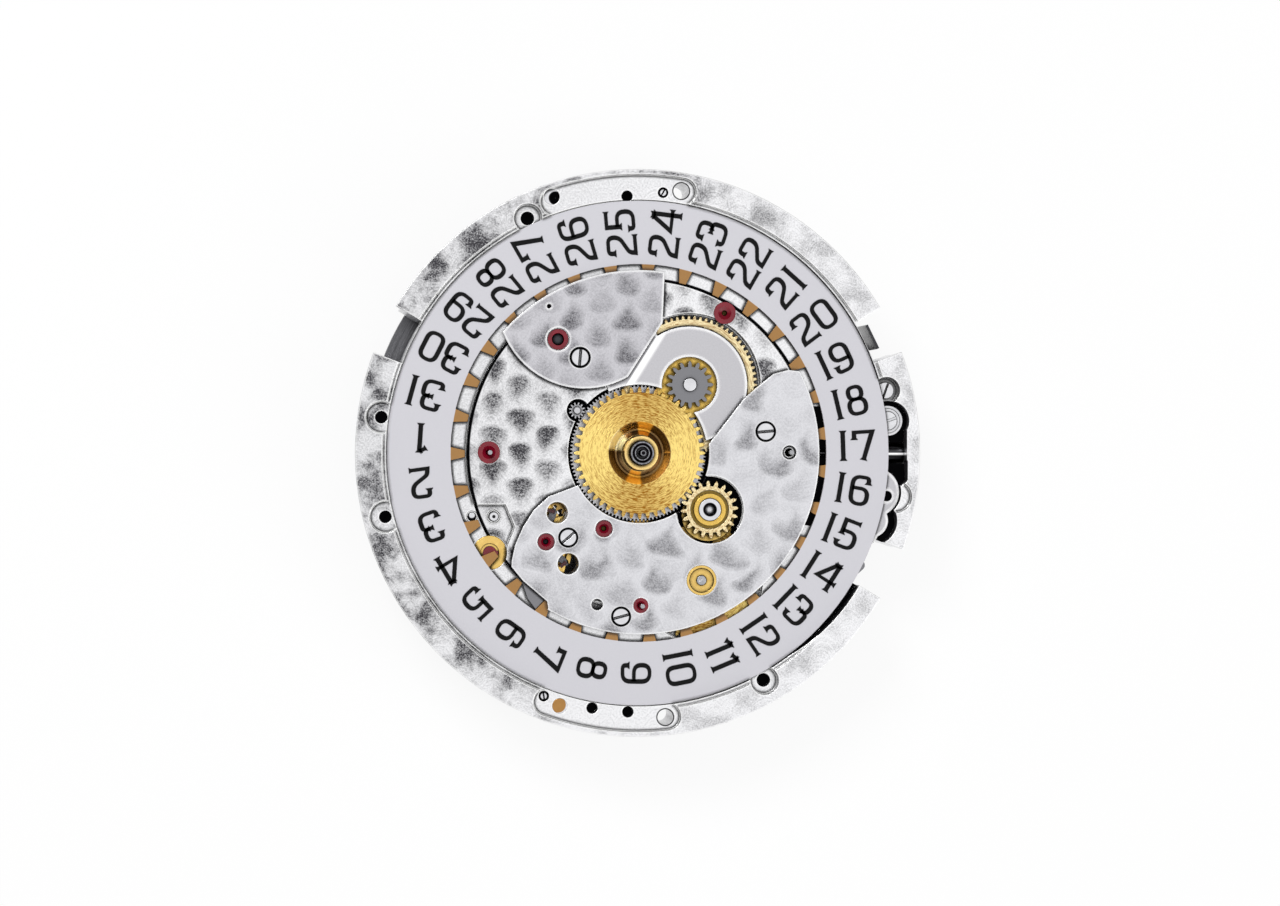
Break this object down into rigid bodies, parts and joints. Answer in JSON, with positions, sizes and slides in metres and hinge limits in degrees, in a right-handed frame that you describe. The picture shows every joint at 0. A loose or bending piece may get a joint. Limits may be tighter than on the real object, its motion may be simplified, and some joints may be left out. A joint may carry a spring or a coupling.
{
  "type": "mechanical watch movement",
  "caption": "Automatic chronograph watch movement seen from the dial side, with date ring, gear trains, balance, winding rotor and hand arbors",
  "frame": {"origin": "On the movement's axis, in the plane of the rim on which the dial rests", "axes": "+Z towards the dial, along the hour pipe; +X towards 3 o'clock and the winding stem; +Y towards 12 o'clock"},
  "size_m": [0.03, 0.03, 0.0083],
  "materials": {
    "plated_plate": "Rhodium-plated brass, circular grained and spotted",
    "plated_bridge": "Rhodium-plated brass, fine ground",
    "grey_steel": "Hardened steel, fine ground",
    "bright_steel": "Hardened steel, black polished",
    "gold_brass": "Gold-plated brass, circular brushed",
    "plain_brass": "Brass wheel, ground",
    "polished_gold": "Gold-plated, polished",
    "ruby": "Synthetic ruby, polished",
    "ring_white": "White lacquered brass, matt",
    "rotor_dark": "Tungsten alloy and brass, ground",
    "dark_steel": "Oiled dark steel",
    "spring_blue": "Spring alloy, blue grey"
  },
  "bodies": {
    "frame": {"main_plate": "plated_plate", "date_keeper_plate": "plated_plate", "calendar_bridge": "plated_plate", "minute_work_cover": "grey_steel", "setting_lever_cover": "grey_steel", "date_wheel_bush": "polished_gold", "shock_settings": "polished_gold", "minute_wheel_stud": "bright_steel", "intermediate_stud": "bright_steel", "bearing_disc": "polished_gold", "dial_side_screws": "bright_steel", "dial_side_jewels": "ruby", "plate_pins": "bright_steel", "date_jumper": "grey_steel", "pallet_bridge": "plated_bridge", "hairspring": "spring_blue", "balance_cock": "plated_bridge", "barrel_bridge": "plated_bridge", "train_bridge": "plated_bridge", "bridge_screws": "bright_steel", "bridge_jewels": "ruby", "chronograph_bridge": "plated_bridge", "winding_bridge": "plated_bridge", "rotor_bearing": "grey_steel"},
    "calendar_ring": {"date_ring": "ring_white"},
    "hour": {"hour_wheel": "gold_brass"},
    "minute_work": {"minute_wheel": "gold_brass", "minute_pinion": "grey_steel"},
    "cannon": {"cannon_pinion": "bright_steel"},
    "date_intermediate": {"date_intermediate_wheel": "gold_brass"},
    "date_drive": {"date_wheel": "gold_brass", "date_finger": "grey_steel"},
    "hour_counter_drive": {"hour_counter_drive_wheel": "grey_steel"},
    "hour_counter_small_pinion": {"hour_counter_pinion": "grey_steel"},
    "hour_counter_idle": {"hour_counter_idler": "plain_brass"},
    "hour_counter": {"hour_counter_wheel": "plain_brass"},
    "fourth": {"fourth_wheel": "plain_brass"},
    "third": {"third_wheel": "plain_brass"},
    "centre": {"centre_wheel": "plain_brass"},
    "barrel_drum": {"barrel": "plain_brass", "mainspring": "spring_blue"},
    "escape": {"escape_wheel": "polished_gold"},
    "seconds_idle": {"seconds_idler": "plain_brass"},
    "small_seconds": {"small_seconds_wheel": "plain_brass"},
    "pallets": {"pallet_fork": "grey_steel", "pallet_stones": "ruby"},
    "balance": {"balance_wheel": "polished_gold"},
    "winding_rotor": {"rotor": "rotor_dark"},
    "reversing": {"reversing_wheel": "plain_brass"},
    "intermediate_winding": {"intermediate_winding_wheel": "plain_brass"},
    "ratchet": {"ratchet_wheel": "grey_steel"},
    "crown": {"crown_wheel": "grey_steel"},
    "column": {"column_wheel": "grey_steel"},
    "operating": {"operating_lever": "dark_steel"},
    "reset": {"reset_lever": "grey_steel"},
    "chronograph": {"chronograph_wheel": "grey_steel"},
    "minute_counter": {"minute_counter_wheel": "plain_brass"},
    "pinion_on_stem": {"winding_pinion": "grey_steel"},
    "stem": {"winding_stem": "dark_steel"},
    "setting": {"setting_lever": "grey_steel"}
  },
  "joints": [
    {"name": "date_ring_turn", "type": "hinge", "parent": "frame", "child": "calendar_ring", "pos_m": [0, 0, -0.00037], "axis": [0, 0, 1], "continuous": true, "deforming": ["date_jumper"]},
    {"name": "hour_turn", "type": "hinge", "parent": "frame", "child": "hour", "pos_m": [0, 0, -0.0003], "axis": [0, 0, 1], "continuous": true},
    {"name": "minute_work_turn", "type": "hinge", "parent": "frame", "child": "minute_work", "pos_m": [0.00268, 0.00362, -0.0005], "axis": [0, 0, 1], "continuous": true},
    {"name": "cannon_turn", "type": "hinge", "parent": "frame", "child": "cannon", "pos_m": [0, 0, -0.0007], "axis": [0, 0, 1], "continuous": true},
    {"name": "date_intermediate_turn", "type": "hinge", "parent": "frame", "child": "date_intermediate", "pos_m": [0.00373, -0.003, -0.0003], "axis": [0, 0, 1], "continuous": true},
    {"name": "date_drive_turn", "type": "hinge", "parent": "frame", "child": "date_drive", "pos_m": [0.00328, -0.00674, -0.0008], "axis": [0, 0, 1], "continuous": true, "deforming": ["date_finger"]},
    {"name": "hour_counter_drive_turn", "type": "hinge", "parent": "frame", "child": "hour_counter_drive", "pos_m": [0, 0, -0.00104], "axis": [0, 0, 1], "continuous": true},
    {"name": "hour_counter_pinion_turn", "type": "hinge", "parent": "frame", "child": "hour_counter_small_pinion", "pos_m": [-0.00327, 0.00225, -0.00104], "axis": [0, 0, 1], "continuous": true},
    {"name": "hour_counter_idler_turn", "type": "hinge", "parent": "frame", "child": "hour_counter_idle", "pos_m": [0.00013, -0.00544, -0.00104], "axis": [0, 0, 1], "continuous": true},
    {"name": "hour_counter_turn", "type": "hinge", "parent": "frame", "child": "hour_counter", "pos_m": [0.00005, -0.00806, -0.00104], "axis": [0, 0, 1], "continuous": true},
    {"name": "fourth_turn", "type": "hinge", "parent": "frame", "child": "fourth", "pos_m": [0.0012, -0.0041, -0.0024], "axis": [0, 0, 1], "continuous": true},
    {"name": "third_turn", "type": "hinge", "parent": "frame", "child": "third", "pos_m": [0.0042, -0.0016, -0.0028], "axis": [0, 0, 1], "continuous": true},
    {"name": "centre_turn", "type": "hinge", "parent": "frame", "child": "centre", "pos_m": [0, 0, -0.0032], "axis": [0, 0, 1], "continuous": true},
    {"name": "barrel_turn", "type": "hinge", "parent": "frame", "child": "barrel_drum", "pos_m": [-0.00433, 0.006, -0.0021], "axis": [0, 0, 1], "continuous": true, "deforming": ["mainspring"]},
    {"name": "escape_turn", "type": "hinge", "parent": "frame", "child": "escape", "pos_m": [-0.0019, -0.00399, -0.0021], "axis": [0, 0, 1], "continuous": true},
    {"name": "seconds_idler_turn", "type": "hinge", "parent": "frame", "child": "seconds_idle", "pos_m": [-0.0029, -0.00094, -0.0017], "axis": [0, 0, 1], "continuous": true},
    {"name": "small_seconds_turn", "type": "hinge", "parent": "frame", "child": "small_seconds", "pos_m": [-0.00798, 0.00003, -0.0017], "axis": [0, 0, 1], "continuous": true},
    {"name": "pallet_rock", "type": "hinge", "parent": "frame", "child": "pallets", "pos_m": [-0.00497, -0.00468, -0.0021], "axis": [0, 0, 1], "range_deg": [-5, 5]},
    {"name": "balance_swing", "type": "hinge", "parent": "frame", "child": "balance", "pos_m": [-0.00792, -0.00526, -0.0031], "axis": [0, 0, 1], "range_deg": [-270, 270], "deforming": ["hairspring"]},
    {"name": "rotor_turn", "type": "hinge", "parent": "frame", "child": "winding_rotor", "pos_m": [0, 0, -0.006], "axis": [0, 0, 1], "continuous": true},
    {"name": "reversing_turn", "type": "hinge", "parent": "frame", "child": "reversing", "pos_m": [0.00357, 0.00221, -0.0055], "axis": [0, 0, 1], "continuous": true},
    {"name": "intermediate_winding_turn", "type": "hinge", "parent": "frame", "child": "intermediate_winding", "pos_m": [0.00454, 0.00742, -0.0044], "axis": [0, 0, 1], "continuous": true},
    {"name": "ratchet_turn", "type": "hinge", "parent": "frame", "child": "ratchet", "pos_m": [-0.00433, 0.006, -0.0044], "axis": [0, 0, 1], "continuous": true},
    {"name": "crown_turn", "type": "hinge", "parent": "frame", "child": "crown", "pos_m": [0.0094, 0.00324, -0.0044], "axis": [0, 0, 1], "continuous": true},
    {"name": "column_turn", "type": "hinge", "parent": "frame", "child": "column", "pos_m": [0.0103, -0.0052, -0.0045], "axis": [0, 0, 1], "continuous": true},
    {"name": "operating_press", "type": "hinge", "parent": "frame", "child": "operating", "pos_m": [0.0123, 0.001, -0.0047], "axis": [0, 0, 1], "range_deg": [0, 5]},
    {"name": "reset_press", "type": "hinge", "parent": "frame", "child": "reset", "pos_m": [0.009, -0.0092, -0.0044], "axis": [0, 0, 1], "range_deg": [0, 2.7]},
    {"name": "chronograph_turn", "type": "hinge", "parent": "frame", "child": "chronograph", "pos_m": [0, 0, -0.0047], "axis": [0, 0, 1], "continuous": true},
    {"name": "minute_counter_turn", "type": "hinge", "parent": "frame", "child": "minute_counter", "pos_m": [0.00798, 0.00003, -0.0047], "axis": [0, 0, 1], "continuous": true},
    {"name": "winding_pinion_turn", "type": "hinge", "parent": "frame", "child": "pinion_on_stem", "pos_m": [0.0103, 0, -0.00145], "axis": [1, 0, 0], "continuous": true},
    {"name": "stem_pull", "type": "slide", "parent": "pinion_on_stem", "child": "stem", "axis": [1, 0, 0], "range_m": [0, 0.0009]},
    {"name": "setting_lever_swing", "type": "hinge", "parent": "frame", "child": "setting", "pos_m": [0.01336, 0.00172, -0.00078], "axis": [0, 0, 1], "range_deg": [0, 29.5]}
  ],
  "couplings": [
    {"joint": "minute_work_turn", "follows": "hour_turn", "ratio": -3},
    {"joint": "cannon_turn", "follows": "hour_turn", "ratio": 12},
    {"joint": "date_intermediate_turn", "follows": "hour_turn", "ratio": -2.4},
    {"joint": "date_drive_turn", "follows": "hour_turn", "ratio": 0.5},
    {"joint": "hour_counter_pinion_turn", "follows": "hour_counter_drive_turn", "ratio": -9.3333},
    {"joint": "hour_counter_idler_turn", "follows": "hour_counter_drive_turn", "ratio": -1.931},
    {"joint": "hour_counter_turn", "follows": "hour_counter_drive_turn", "ratio": 4.6667},
    {"joint": "third_turn", "follows": "fourth_turn", "ratio": -0.11111},
    {"joint": "centre_turn", "follows": "fourth_turn", "ratio": 0.013889},
    {"joint": "barrel_turn", "follows": "fourth_turn", "ratio": -0.0017361},
    {"joint": "escape_turn", "follows": "fourth_turn", "ratio": -10},
    {"joint": "seconds_idler_turn", "follows": "fourth_turn", "ratio": -1.1111},
    {"joint": "small_seconds_turn", "follows": "fourth_turn", "ratio": 1},
    {"joint": "reversing_turn", "follows": "rotor_turn", "ratio": -0.61538},
    {"joint": "intermediate_winding_turn", "follows": "rotor_turn", "ratio": 0.30769},
    {"joint": "ratchet_turn", "follows": "rotor_turn", "ratio": -0.1991},
    {"joint": "crown_turn", "follows": "rotor_turn", "ratio": -0.37607},
    {"joint": "setting_lever_swing", "follows": "stem_pull", "rad_per_m": 570}
  ]
}
